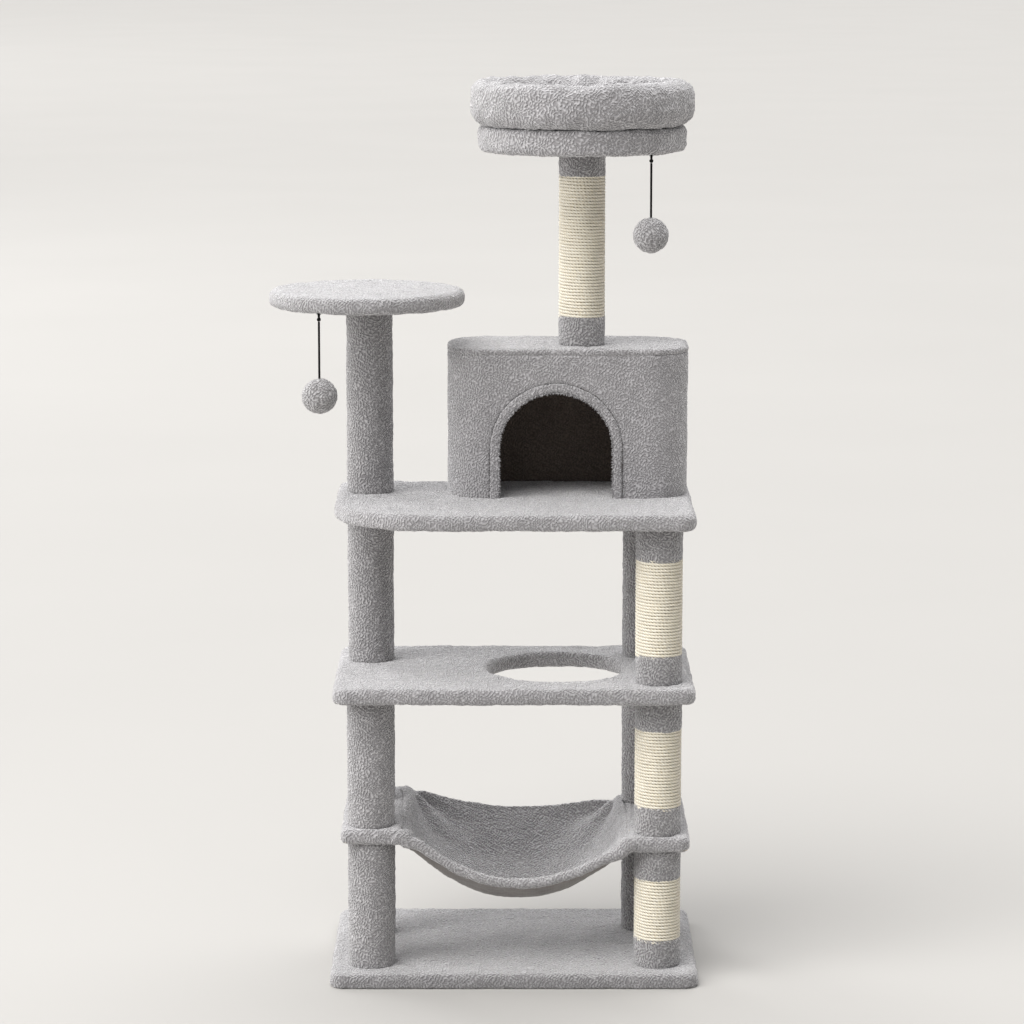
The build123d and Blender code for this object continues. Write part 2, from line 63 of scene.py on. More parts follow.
# ---------------------------------------------------------------------------
# The two hanging cords: 3.5 mm round braided elastic, black, each tied to its
# wire staple at the top and sewn 8 mm into its ball. They hang dead straight.
def linear(colour):
    """An sRGB hex colour as the linear RGBA that the shaders take."""
    shares = [int(colour[i : i + 2], 16) / 255 for i in (1, 3, 5)]
    return [s / 12.92 if s <= 0.04045 else ((s + 0.055) / 1.055) ** 2.4 for s in shares] + [1.0]


def add(tree, kind, inputs=(), **settings):
    """Adds a node with its settings, and sets or links each of its inputs."""
    node = tree.nodes.new(kind)
    for name, value in settings.items():
        setattr(node, name, value)
    for name, value in dict(inputs).items():
        if isinstance(value, bpy.types.NodeSocket):
            tree.links.new(value, node.inputs[name])
        else:
            node.inputs[name].default_value = value
    return node


def new_material(name, roughness, **sockets):
    """A material with a Principled shader: sockets are set on the shader itself."""
    material = bpy.data.materials.new(name)
    material.use_nodes = True
    shader = material.node_tree.nodes["Principled BSDF"]
    shader.inputs["Roughness"].default_value = roughness
    for socket, value in sockets.items():
        shader.inputs[socket.replace("_", " ")].default_value = value
    return material, material.node_tree, shader


# Braided polyester elastic: matt black, with a 1.5 mm braid that catches light.
braided_elastic, tree, shader = new_material("braided_elastic", 0.8, Specular_IOR_Level=0.2)
place = add(tree, "ShaderNodeTexCoord").outputs["Object"]
braid = add(
    tree, "ShaderNodeTexWave", {"Vector": place, "Scale": 210.0, "Distortion": 1.5},
    bands_direction="DIAGONAL",
).outputs[1]
tone = add(
    tree, "ShaderNodeMix",
    {"Factor": braid, "A": linear("#020202"), "B": linear("#0B0B0C")}, data_type="RGBA",
).outputs["Result"]
tree.links.new(tone, shader.inputs["Base Color"])
bump = add(tree, "ShaderNodeBump", {"Height": braid, "Distance": 0.0003, "Strength": 0.6})
tree.links.new(bump.outputs[0], shader.inputs["Normal"])


def fit(piece, slot, body, *nodes):
    """Rides a piece on its body and hides the CAD nodes it stands for; its slot is not used."""
    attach(piece, body)
    if nodes:
        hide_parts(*nodes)


hanging_cords = {}
for side, top, bottom, length in (("left", 1.0623, 0.964, 0.0983), ("right", 1.3083, 1.214, 0.0943)):
    low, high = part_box(f"toy_{side}_cord")
    x, y = (low.x + high.x) / 2, (low.y + high.y) / 2
    line = bpy.data.curves.new(f"hanging_cord_{side}", "CURVE")
    line.dimensions = "3D"
    line.bevel_depth = 0.00175
    line.bevel_resolution = 4
    line.resolution_u = 12
    line.use_fill_caps = True
    spline = line.splines.new("NURBS")
    spline.points.add(3)
    for point, share in zip(spline.points, (0, 0.12, 0.85, 1)):
        point.co = (x, y, top + (bottom - top) * share, 1.0)
    spline.order_u = 3
    spline.use_endpoint_u = True
    line.materials.append(braided_elastic)
    cord = bpy.data.objects.new(f"hanging_cord_{side}", line)
    scene.collection.objects.link(cord)
    hanging_cords[side] = (cord, (x, y, top), length)
    fit(cord, "black_cord", f"{side}_ball", f"toy_{side}_cord")


# ---------------------------------------------------------------------------
# A pale studio floor, one broad soft key light high on the front left, and a
# sky that is brightest overhead, so the shelves' tops read lighter.
floor_mesh = bpy.data.meshes.new("studio_floor")
reach = 220.0
floor_mesh.from_pydata(
    [(-reach, -reach, 0), (reach, -reach, 0), (reach, reach, 0), (-reach, reach, 0)], [], [(0, 1, 2, 3)]
)
floor = bpy.data.objects.new("studio_floor", floor_mesh)
scene.collection.objects.link(floor)
# Matt painted board, off-white, with a slight mottle so that it isn't dead flat.
painted_floor, tree, shader = new_material("painted_floor", 0.9)
place = add(tree, "ShaderNodeTexCoord").outputs["Object"]
mottle = add(tree, "ShaderNodeTexNoise", {"Vector": place, "Scale": 0.8, "Detail": 3.0}).outputs[0]
tone = add(
    tree, "ShaderNodeMix",
    {"Factor": mottle, "A": linear("#B0AEAB"), "B": linear("#B4B2AF")}, data_type="RGBA",
).outputs["Result"]
tree.links.new(tone, shader.inputs["Base Color"])
shader.inputs["Specular IOR Level"].default_value = 0.1
floor_mesh.materials.append(painted_floor)

key = bpy.data.objects.new("key_light", bpy.data.lights.new("key_light", "SUN"))
key.data.energy = 2.3
key.data.angle = math.radians(45)
key.data.color = (1.0, 0.99, 0.975)
key.rotation_euler = Vector((0.36, 0.42, -0.90)).to_track_quat("-Z", "Y").to_euler()
scene.collection.objects.link(key)

# A weaker, very broad light from high behind rakes the tops and lifts their pile.
rake = bpy.data.objects.new("back_light", bpy.data.lights.new("back_light", "SUN"))
rake.data.energy = 1.9
rake.data.angle = math.radians(70)
rake.rotation_euler = Vector((-0.15, -0.62, -0.78)).to_track_quat("-Z", "Y").to_euler()
scene.collection.objects.link(rake)

# Two broad lights off to the left lift that side of the background, near and far.
for name, size, power, spot, towards in (
    ("far_wash", 8.0, 1300.0, (-20.0, 26.0, 10.0), (9.0, 6.0, -9.0)),
    ("near_wash", 5.0, 450.0, (-9.0, 9.0, 5.0), (7.5, -4.0, -5.0)),
):
    wash = bpy.data.objects.new(name, bpy.data.lights.new(name, "AREA"))
    wash.data.shape = "DISK"
    wash.data.size = size
    wash.data.energy = power
    wash.location = spot
    wash.rotation_euler = Vector(towards).to_track_quat("-Z", "Y").to_euler()
    wash.visible_camera = False
    scene.collection.objects.link(wash)

# A softbox to the left of the tree models the posts, light on the left and darker on the right.
softbox = bpy.data.objects.new("left_softbox", bpy.data.lights.new("left_softbox", "AREA"))
softbox.data.shape = "DISK"
softbox.data.size = 2.4
softbox.data.energy = 80.0
softbox.data.color = (1.0, 0.995, 0.985)
softbox.location = (-3.8, -2.0, 2.2)
softbox.rotation_euler = Vector((3.8, 2.0, -1.4)).to_track_quat("-Z", "Y").to_euler()
softbox.visible_camera = False
scene.collection.objects.link(softbox)

sky = bpy.data.worlds.new("studio_sky")
scene.world = sky
sky.use_nodes = True
tree = sky.node_tree
tree.nodes.clear()
direction = add(tree, "ShaderNodeTexCoord").outputs["Generated"]
heading = add(tree, "ShaderNodeSeparateXYZ", {0: direction}).outputs
share = add(tree, "ShaderNodeMapRange", {0: heading[2], 1: -0.1, 2: 0.9}).outputs[0]
glow = add(
    tree, "ShaderNodeMix",
    {"Factor": share, "A": [0.38, 0.38, 0.38, 1], "B": [0.60, 0.60, 0.605, 1]}, data_type="RGBA",
).outputs["Result"]
side = add(tree, "ShaderNodeMapRange", {0: heading[0], 1: -1.0, 2: 1.0, 3: 1.25, 4: 0.75}).outputs[0]
light = add(tree, "ShaderNodeBackground", {"Color": glow, "Strength": side}).outputs[0]
add(tree, "ShaderNodeOutputWorld", {"Surface": light})


# ---------------------------------------------------------------------------
# Base: a particle board wrapped in plush, its edges rounded by the pile. The
# plush is drawn over the top and sides and turned under, where it is glued.
def plush(name, shaded_root, tip, curl, patch, relief, sheen=1.0):
    """Curly short-pile polyester plush: rows of pale curls, curl apart, wander every way; the darker roots between them
    are painted shade in the hollows of the pile. It has soft light and dark patches where the pile is brushed, and a
    bright fuzzy rim from the shader's sheen."""
    material, tree, shader = new_material(
        name, 0.9, Specular_IOR_Level=0.1, Sheen_Weight=sheen, Sheen_Roughness=0.65
    )
    shader.inputs["Sheen Tint"].default_value = linear("#F6F5F6")
    place = add(tree, "ShaderNodeTexCoord").outputs["Object"]
    stir = add(tree, "ShaderNodeTexNoise", {"Vector": place, "Scale": 0.25 / curl, "Detail": 1.0}).outputs[1]
    stirred = add(
        tree, "ShaderNodeVectorMath", {0: stir, 1: [curl * 3.2] * 3, 2: place}, operation="MULTIPLY_ADD"
    ).outputs[0]
    rows, headings = 0.0, 6
    for number in range(headings):
        rise, turn = (number + 0.5) / headings, number * math.pi * (3 - math.sqrt(5))
        flat = math.sqrt(1 - rise * rise)
        heading = Vector((flat * math.cos(turn), flat * math.sin(turn), rise)) * 2 * math.pi / curl
        across = add(tree, "ShaderNodeVectorMath", {0: stirred, 1: heading}, operation="DOT_PRODUCT").outputs["Value"]
        crest = add(tree, "ShaderNodeMath", {0: across}, operation="SINE").outputs[0]
        rows = add(tree, "ShaderNodeMath", {0: crest, 1: rows}).outputs[0]
    curls = add(
        tree, "ShaderNodeMapRange", {0: rows, 1: -2.1, 2: 2.8}, interpolation_type="SMOOTHSTEP"
    ).outputs[0]
    fuzz = add(tree, "ShaderNodeTexNoise", {"Vector": place, "Scale": 500.0, "Detail": 2.0}).outputs[0]
    height = add(tree, "ShaderNodeMath", {0: fuzz, 1: 0.25, 2: curls}, operation="MULTIPLY_ADD").outputs[0]
    share = add(tree, "ShaderNodeMapRange", {0: height, 1: 0.1, 2: 1.1}).outputs[0]
    # Painted shade: the tone runs from the darker root colour in the hollows between curls to the pale tip colour on
    # their crests.
    tone = add(
        tree, "ShaderNodeMix", {"Factor": share, "A": linear(shaded_root), "B": linear(tip)}, data_type="RGBA"
    ).outputs["Result"]
    drift = add(tree, "ShaderNodeTexNoise", {"Vector": place, "Scale": 1.0 / patch, "Detail": 2.0}).outputs[0]
    level = add(tree, "ShaderNodeMapRange", {0: drift, 1: 0.3, 2: 0.7, 3: 0.88, 4: 1.12}).outputs[0]
    tone = add(tree, "ShaderNodeVectorMath", {0: tone, "Scale": level}, operation="SCALE").outputs[0]
    tree.links.new(tone, shader.inputs["Base Color"])
    bump = add(tree, "ShaderNodeBump", {"Height": height, "Distance": relief, "Strength": 1.0})
    tree.links.new(bump.outputs[0], shader.inputs["Normal"])
    return material


cover_plush = plush("grey_cover_plush", "#7F7C7E", "#A8A6A8", 0.0044, 0.045, 0.0024)


def new_tree(name, **sockets):
    """An empty Geometry Nodes tree with the named inputs and one geometry output."""
    tree = bpy.data.node_groups.new(name, "GeometryNodeTree")
    for socket, kind in sockets.items():
        tree.interface.new_socket(socket.replace("_", " "), in_out="INPUT", socket_type=f"NodeSocket{kind}")
    tree.interface.new_socket("Geometry", in_out="OUTPUT", socket_type="NodeSocketGeometry")
    return tree, add(tree, "NodeGroupInput").outputs


def close_tree(tree, geometry, material):
    """Ends a tree: everything realised, smooth, in its material."""
    geometry = add(tree, "GeometryNodeRealizeInstances", {0: geometry}).outputs[0]
    geometry = add(tree, "GeometryNodeSetShadeSmooth", {0: geometry}).outputs[0]
    geometry = add(tree, "GeometryNodeSetMaterial", {"Geometry": geometry, "Material": material}).outputs[0]
    add(tree, "NodeGroupOutput", {0: geometry})


def grow(piece, tree, **inputs):
    """Puts a node tree on a piece and turns the result into its plain mesh."""
    modifier = piece.modifiers.new(tree.name, "NODES")
    modifier.node_group = tree
    for item in tree.interface.items_tree:
        key = item.name.replace(" ", "_")
        if item.in_out == "INPUT" and key in inputs:
            modifier[item.identifier] = inputs[key]
    return settle(piece)


def settle(piece):
    """Turns a piece with its modifiers into one plain mesh."""
    evaluated = piece.evaluated_get(bpy.context.evaluated_depsgraph_get())
    mesh = bpy.data.meshes.new_from_object(evaluated)
    piece.modifiers.clear()
    piece.data = mesh
    mesh.name = piece.name
    return piece


pile, given = new_tree(
    "plush_pile", Geometry="Geometry", Curl_Height="Float", Curl_Size="Float", Swell_Height="Float",
    Swell_Size="Float", Seed="Float", Material="Material",
)
point = add(pile, "GeometryNodeInputPosition").outputs[0]
lift = 0.0
for part, detail in (("Curl", 1.0), ("Swell", 1.0)):
    scale = add(pile, "ShaderNodeMath", {0: 1.0, 1: given[f"{part} Size"]}, operation="DIVIDE").outputs[0]
    cloud = add(
        pile, "ShaderNodeTexNoise", {"Vector": point, "W": given["Seed"], "Scale": scale, "Detail": detail},
        noise_dimensions="4D",
    ).outputs[0]
    swing = add(pile, "ShaderNodeMapRange", {0: cloud, 1: 0.25, 2: 0.75, 3: -1.0, 4: 1.0}).outputs[0]
    lift = add(
        pile, "ShaderNodeMath", {0: swing, 1: given[f"{part} Height"], 2: lift}, operation="MULTIPLY_ADD"
    ).outputs[0]
normal = add(pile, "GeometryNodeInputNormal").outputs[0]
offset = add(pile, "ShaderNodeVectorMath", {0: normal, "Scale": lift}, operation="SCALE").outputs[0]
raised = add(pile, "GeometryNodeSetPosition", {"Geometry": given["Geometry"], "Offset": offset}).outputs[0]
close_tree(pile, raised, given["Material"])


def new_piece(name, mesh):
    """Links a new object for a mesh, at the origin."""
    piece = bpy.data.objects.new(name, mesh)
    scene.collection.objects.link(piece)
    return piece


def skin(piece, voxel, rounds=3):
    """One closed even skin round everything in a piece, with its corners eased."""
    remesh = piece.modifiers.new("skin", "REMESH")
    remesh.mode = "VOXEL"
    remesh.voxel_size = voxel
    remesh.use_smooth_shade = True
    ease = piece.modifiers.new("ease", "SMOOTH")
    ease.factor = 0.5
    ease.iterations = rounds
    return settle(piece)


def wrap(name, *nodes, voxel=0.003, extra=(), sink=0.0):
    """A closed skin that stands for the named CAD nodes, with any extra meshes sewn in. Its foot can sink into a pile."""
    joined = bmesh.new()
    for node in nodes:
        joined.from_mesh(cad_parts[node].data)
    bmesh.ops.remove_doubles(joined, verts=joined.verts, dist=1e-5)
    foot = min(spot.co.z for spot in joined.verts)
    for spot in joined.verts:
        if spot.co.z < foot + 0.001:
            spot.co.z -= sink
    for mesh in extra:
        joined.from_mesh(mesh)
    mesh = bpy.data.meshes.new(name)
    joined.to_mesh(mesh)
    joined.free()
    return skin(new_piece(name, mesh), voxel)


# The base's plush is a darker copy of the same cloth: painted shade, so that the whole base reads darker than the
# shelves above it.
painted_shade_base_plush = plush("grey_base_plush", "#6C696B", "#918F91", 0.0044, 0.045, 0.0024)
base = wrap("base_plush_cover", "base_cover", "base_board")
grow(base, pile, Curl_Height=0.0009, Curl_Size=0.0085, Swell_Height=0.0010, Swell_Size=0.05, Seed=1.0, Material=painted_shade_base_plush)
# It stands flat on the floor, and is flat under the lining cloth.
under_low, under_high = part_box("base_lining")
for spot in base.data.vertices:
    under_cloth = under_low.x < spot.co.x < under_high.x and under_low.y < spot.co.y < under_high.y
    spot.co.z = max(spot.co.z, under_high.z + 0.0004 if under_cloth else 0.0004)
fit(base, "plush", "tree", "base_cover")


# Under the base: four socket bolts and washers, and a thin black cloth that is
# stretched over the board and stapled round its rim to hide the raw underside.
def coat(material, *nodes):
    """Gives CAD nodes a procedural material."""
    for node in nodes:
        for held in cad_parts[node].material_slots:
            held.material = material


# Zinc-plated steel: bright cool grey with a fine cloudy passivated surface.
zinc_plate, tree, shader = new_material("zinc_plate", 0.38, Metallic=1.0)
place = add(tree, "ShaderNodeTexCoord").outputs["Object"]
cloud = add(tree, "ShaderNodeTexNoise", {"Vector": place, "Scale": 350.0, "Detail": 3.0}).outputs[0]
tone = add(
    tree, "ShaderNodeMix", {"Factor": cloud, "A": linear("#B4B7B8"), "B": linear("#D6D8D8")}, data_type="RGBA"
).outputs["Result"]
rough = add(tree, "ShaderNodeMapRange", {0: cloud, 1: 0.3, 2: 0.7, 3: 0.3, 4: 0.5}).outputs[0]
tree.links.new(tone, shader.inputs["Base Color"])
tree.links.new(rough, shader.inputs["Roughness"])
coat(zinc_plate, "base_bolts", "base_washers", "tee_nuts", "threaded_rods", "toy_staples")

# Particle board: resin-bonded chips 2 to 6 mm long, pale and dark straw.
particle_board, tree, shader = new_material("particle_board", 0.8)
place = add(tree, "ShaderNodeTexCoord").outputs["Object"]
chips = add(tree, "ShaderNodeTexVoronoi", {"Vector": place, "Scale": 260.0})
tone = add(tree, "ShaderNodeSeparateColor", {0: chips.outputs["Color"]}).outputs[0]
tone = add(
    tree, "ShaderNodeMix", {"Factor": tone, "A": linear("#A98A60"), "B": linear("#D6BD94")}, data_type="RGBA"
).outputs["Result"]
tree.links.new(tone, shader.inputs["Base Color"])
bump = add(tree, "ShaderNodeBump", {"Height": chips.outputs["Distance"], "Distance": 0.0004, "Strength": 0.5})
tree.links.new(bump.outputs[0], shader.inputs["Normal"])
coat(
    particle_board, "base_board", "mid_shelf_board", "upper_shelf_board", "perch_board", "bed_board",
    "hammock_board_left", "hammock_board_right", "house_roof_board",
)

# Spunbonded polypropylene: near-black thin cloth, pressed with a 2 mm dot grid.
spunbond, tree, shader = new_material("spunbond_cloth", 0.85, Sheen_Weight=0.1)
place = add(tree, "ShaderNodeTexCoord").outputs["Object"]
dots = add(tree, "ShaderNodeTexVoronoi", {"Vector": place, "Scale": 500.0, "Randomness": 0.15}).outputs[0]
fibre = add(tree, "ShaderNodeTexNoise", {"Vector": place, "Scale": 160.0, "Detail": 4.0}).outputs[0]
tone = add(
    tree, "ShaderNodeMix", {"Factor": fibre, "A": linear("#151412"), "B": linear("#2B2926")}, data_type="RGBA"
).outputs["Result"]
tree.links.new(tone, shader.inputs["Base Color"])
bump = add(tree, "ShaderNodeBump", {"Height": dots, "Distance": 0.0004, "Strength": 0.6})
tree.links.new(bump.outputs[0], shader.inputs["Normal"])


def quads(name, columns, rows, point, closed=False):
    """A grid mesh whose points come from point(column, row); closed joins the last column to the first."""
    spots = [point(i, j) for j in range(rows) for i in range(columns)]
    around = columns if closed else columns - 1
    faces = [
        (j * columns + i, j * columns + (i + 1) % columns, (j + 1) * columns + (i + 1) % columns, (j + 1) * columns + i)
        for j in range(rows - 1)
        for i in range(around)
    ]
    mesh = bpy.data.meshes.new(name)
    mesh.from_pydata(spots, [], faces)
    return mesh


def thicken(piece, thickness, way=-1.0):
    """Gives an open sheet its thickness, with closed rims."""
    wall = piece.modifiers.new("wall", "SOLIDIFY")
    wall.thickness = thickness
    wall.offset = way
    return settle(piece)


low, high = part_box("base_lining")


def lining_point(i, j):
    x = low.x + (high.x - low.x) * i / 96
    y = low.y + (high.y - low.y) * j / 64
    rim = min(i, 96 - i, j * 1.0, 64 - j)
    ripple = 0.0003 * math.sin(x * 190) * math.sin(y * 140) * min(1.0, rim / 6)
    return x, y, (low.z + high.z) / 2 + ripple + 0.0002


base_lining = new_piece("base_lining_cloth", quads("base_lining_cloth", 97, 65, lining_point))
thicken(base_lining, 0.0008, 0.0)
base_lining.data.materials.append(spunbond)
fit(base_lining, "lining_cloth", "tree", "base_lining")

staples, given = new_tree(
    "staple_row", Width="Float", Depth="Float", Height="Float", Spacing="Float", Centre="Vector", Material="Material"
)
path = add(staples, "GeometryNodeCurvePrimitiveQuadrilateral", {"Width": given["Width"], "Height": given["Depth"]}).outputs[0]
path = add(staples, "GeometryNodeResampleCurve", {"Curve": path, "Length": given["Spacing"]}, mode="LENGTH")
wire = add(staples, "GeometryNodeMeshCube", {"Size": (0.0115, 0.0012, 0.0006)}).outputs[0]
turn = add(staples, "FunctionNodeAlignRotationToVector", {"Vector": add(staples, "GeometryNodeInputTangent").outputs[0]}, axis="X").outputs[0]
row = add(staples, "GeometryNodeInstanceOnPoints", {"Points": path.outputs[0], "Instance": wire, "Rotation": turn}).outputs[0]
placed = add(staples, "GeometryNodeTransform", {"Geometry": row, "Translation": given["Centre"]}).outputs[0]
close_tree(staples, placed, given["Material"])
lining_staples = new_piece("base_lining_staples", bpy.data.meshes.new("base_lining_staples"))
centre = ((low.x + high.x) / 2, (low.y + high.y) / 2, low.z + 0.0001)
grow(
    lining_staples, staples, Width=high.x - low.x - 0.024, Depth=high.y - low.y - 0.024, Spacing=0.04,
    Centre=centre, Material=zinc_plate,
)
fit(lining_staples, "zinc_steel", "tree")


# ---------------------------------------------------------------------------
# Posts: cardboard tubes with a wooden plug in each end, sleeved in plush that is
# glued edge to edge, so each sleeve has one butt seam, turned to the back.
# Wound paper tube: brown, with the faint spiral of its outer ply.
paper_tube, tree, shader = new_material("wound_paper_tube", 0.85)
place = add(tree, "ShaderNodeTexCoord").outputs["Object"]
grain = add(tree, "ShaderNodeTexNoise", {"Vector": place, "Scale": 240.0, "Detail": 3.0}).outputs[0]
tone = add(
    tree, "ShaderNodeMix", {"Factor": grain, "A": linear("#A9875C"), "B": linear("#C4A57A")}, data_type="RGBA"
).outputs["Result"]
tree.links.new(tone, shader.inputs["Base Color"])
coat(
    paper_tube, "tubes_lower_left", "tubes_lower_right", "tubes_middle_left", "tubes_middle_right", "tubes_upper",
    "tube_perch", "tube_bed",
)
# Birch plywood: 1.4 mm plies, light and dark in turn up its thickness.
birch_plywood, tree, shader = new_material("birch_plywood", 0.7)
place = add(tree, "ShaderNodeTexCoord").outputs["Object"]
plies = add(tree, "ShaderNodeTexWave", {"Vector": place, "Scale": 112.0, "Distortion": 0.6}, bands_direction="Z").outputs[1]
tone = add(
    tree, "ShaderNodeMix", {"Factor": plies, "A": linear("#C9A878"), "B": linear("#DEC59C")}, data_type="RGBA"
).outputs["Result"]
tree.links.new(tone, shader.inputs["Base Color"])
coat(birch_plywood, "end_plugs")

# The same plush round a post, with darker roots, a deeper relief and a little less sheen.
sleeve_plush = plush("grey_sleeve_plush", "#767375", "#A9A7A8", 0.0045, 0.04, 0.0030, sheen=0.9)
tube_radius = 0.0325


def sleeve(name, nodes, low, high, centre, outer, seed):
    """A closed tube of plush, fine outside and plain inside, with its ends rolled in and a seam behind."""
    around = 2 * round(math.pi * outer / 0.0029)
    rows = max(6, round((high - low) / 0.0029))
    profile = [(tube_radius, low), (outer - 0.0022, low), (outer - 0.0004, low + 0.002)]
    profile += [(outer, low + 0.002 + (high - low - 0.004) * (k + 0.5) / rows) for k in range(rows)]
    profile += [(outer - 0.0004, high - 0.002), (outer - 0.0022, high), (tube_radius, high), (tube_radius, low)]

    def point(i, j):
        angle = 2 * math.pi * i / around
        radius, z = profile[j]
        away = (angle - math.pi / 2) * outer
        if radius > tube_radius:
            radius -= 0.0016 * math.exp(-((away / 0.0022) ** 2))
        return centre[0] + radius * math.cos(angle), centre[1] + radius * math.sin(angle), z

    mesh = quads(name, around, len(profile), point, closed=True)
    piece = new_piece(name, mesh)
    joined = bmesh.new()
    joined.from_mesh(mesh)
    bmesh.ops.remove_doubles(joined, verts=joined.verts, dist=1e-6)
    joined.to_mesh(mesh)
    joined.free()
    grow(piece, pile, Curl_Height=0.0008, Curl_Size=0.008, Swell_Height=0.0007, Swell_Size=0.04, Seed=seed, Material=sleeve_plush)
    if nodes:
        fit(piece, "plush", "tree", *nodes)
    return piece


sink = 0.0018
for number, post in enumerate(
    ("lower_front_left", "lower_back_left", "lower_back_right", "middle_front_left", "middle_back_left",
     "middle_back_right", "upper_left", "upper_back_right", "perch")
):
    low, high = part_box(f"sleeve_{post}")
    centre = ((low.x + high.x) / 2, (low.y + high.y) / 2)
    sleeve(
        f"plush_sleeve_{post}", (f"sleeve_{post}",), low.z - sink, high.z + sink, centre, (high.x - low.x) / 2,
        10.0 + number,
    )


# ---------------------------------------------------------------------------
# Scratching posts: a 5 mm three-strand sisal rope wound tight on the tube, each
# end tucked under a short plush band that hides it.
# Natural sisal: cream fibres laid into strands, a dry sheen on the crowns, with a few darker fibres; painted shade
# darkens the grooves between the strands.
sisal, tree, shader = new_material("natural_sisal", 0.78, Sheen_Weight=0.3)
along = add(tree, "ShaderNodeAttribute", attribute_name="along").outputs["Fac"]
around = add(tree, "ShaderNodeAttribute", attribute_name="around").outputs["Fac"]
place = add(tree, "ShaderNodeTexCoord").outputs["Object"]
lengthways = add(tree, "ShaderNodeMath", {0: along, 1: 110.0}, operation="MULTIPLY").outputs[0]
crossways = add(tree, "ShaderNodeMath", {0: around, 1: 34.0}, operation="MULTIPLY").outputs[0]
fibre_space = add(tree, "ShaderNodeCombineXYZ", {0: lengthways, 1: crossways, 2: 0.0}).outputs[0]
fibres = add(tree, "ShaderNodeTexNoise", {"Vector": fibre_space, "Scale": 1.0, "Detail": 2.0}).outputs[0]
share = add(tree, "ShaderNodeMapRange", {0: fibres, 1: 0.3, 2: 0.62}).outputs[0]
tone = add(
    tree, "ShaderNodeMix", {"Factor": share, "A": linear("#EBDDBC"), "B": linear("#FFFBF0")}, data_type="RGBA"
).outputs["Result"]
drift = add(tree, "ShaderNodeTexNoise", {"Vector": place, "Scale": 55.0, "Detail": 2.0}).outputs[0]
level = add(tree, "ShaderNodeMapRange", {0: drift, 1: 0.3, 2: 0.7, 3: 1.0, 4: 1.08}).outputs[0]
# Painted shade: the tone is darkened in the valleys between the rope's three strands.
painted_groove_shade = add(tree, "ShaderNodeMath", {0: around, 1: 6 * math.pi}, operation="MULTIPLY").outputs[0]
painted_groove_shade = add(tree, "ShaderNodeMath", {0: painted_groove_shade}, operation="COSINE").outputs[0]
painted_groove_shade = add(tree, "ShaderNodeMapRange", {0: painted_groove_shade, 1: -0.6, 2: 0.6, 3: 0.80, 4: 1.0}).outputs[0]
level = add(tree, "ShaderNodeMath", {0: level, 1: painted_groove_shade}, operation="MULTIPLY").outputs[0]
tone = add(tree, "ShaderNodeVectorMath", {0: tone, "Scale": level}, operation="SCALE").outputs[0]
tree.links.new(tone, shader.inputs["Base Color"])
bump = add(tree, "ShaderNodeBump", {"Height": fibres, "Distance": 0.0005, "Strength": 0.7})
tree.links.new(bump.outputs[0], shader.inputs["Normal"])

winding, given = new_tree(
    "wound_rope", Centre="Vector", Winding_Radius="Float", Height="Float", Turns="Float", Rope_Radius="Float",
    Lay="Float", Strand_Relief="Float", Samples="Int", Seed="Float", Material="Material",
)
coil = add(
    winding, "GeometryNodeCurveSpiral",
    {"Resolution": given["Samples"], "Rotations": given["Turns"], "Start Radius": given["Winding Radius"],
     "End Radius": given["Winding Radius"], "Height": given["Height"]},
).outputs[0]
travel = add(winding, "GeometryNodeSplineParameter").outputs["Length"]
point = add(winding, "GeometryNodeInputPosition").outputs[0]
waver = add(
    winding, "ShaderNodeTexNoise", {"Vector": point, "W": given["Seed"], "Scale": 42.0, "Detail": 1.0}, noise_dimensions="4D"
).outputs[1]
waver = add(winding, "ShaderNodeVectorMath", {0: waver, 1: (0.5, 0.5, 0.5)}, operation="SUBTRACT").outputs[0]
waver = add(winding, "ShaderNodeVectorMath", {0: waver, 1: (0.0006, 0.0006, 0.0016)}, operation="MULTIPLY").outputs[0]
coil = add(winding, "GeometryNodeSetPosition", {"Geometry": coil, "Offset": waver}).outputs[0]
twist = add(winding, "ShaderNodeMath", {0: travel, 1: given["Lay"]}, operation="DIVIDE").outputs[0]
twist = add(winding, "ShaderNodeMath", {0: twist, 1: 2 * math.pi}, operation="MULTIPLY").outputs[0]
coil = add(winding, "GeometryNodeSetCurveTilt", {"Curve": coil, "Tilt": twist}).outputs[0]
coil = add(
    winding, "GeometryNodeStoreNamedAttribute", {"Geometry": coil, "Name": "along", "Value": travel}, data_type="FLOAT"
).outputs[0]
ring = add(winding, "GeometryNodeCurvePrimitiveCircle", {"Resolution": 9, "Radius": given["Rope Radius"]}).outputs[0]
index = add(winding, "GeometryNodeInputIndex").outputs[0]
lobe = add(winding, "ShaderNodeMath", {0: index, 1: 2 * math.pi / 3}, operation="MULTIPLY").outputs[0]
lobe = add(winding, "ShaderNodeMath", {0: lobe}, operation="COSINE").outputs[0]
lobe = add(winding, "ShaderNodeMath", {0: lobe, 1: given["Strand Relief"], 2: 1.0}, operation="MULTIPLY_ADD").outputs[0]
spot = add(winding, "ShaderNodeVectorMath", {0: point, "Scale": lobe}, operation="SCALE").outputs[0]
ring = add(winding, "GeometryNodeSetPosition", {"Geometry": ring, "Position": spot}).outputs[0]
share = add(winding, "ShaderNodeMath", {0: index, 1: 9.0}, operation="DIVIDE").outputs[0]
ring = add(
    winding, "GeometryNodeStoreNamedAttribute", {"Geometry": ring, "Name": "around", "Value": share}, data_type="FLOAT"
).outputs[0]
rope = add(winding, "GeometryNodeCurveToMesh", {"Curve": coil, "Profile Curve": ring, "Fill Caps": True}).outputs[0]
rope = add(winding, "GeometryNodeTransform", {"Geometry": rope, "Translation": given["Centre"]}).outputs[0]
close_tree(winding, rope, given["Material"])

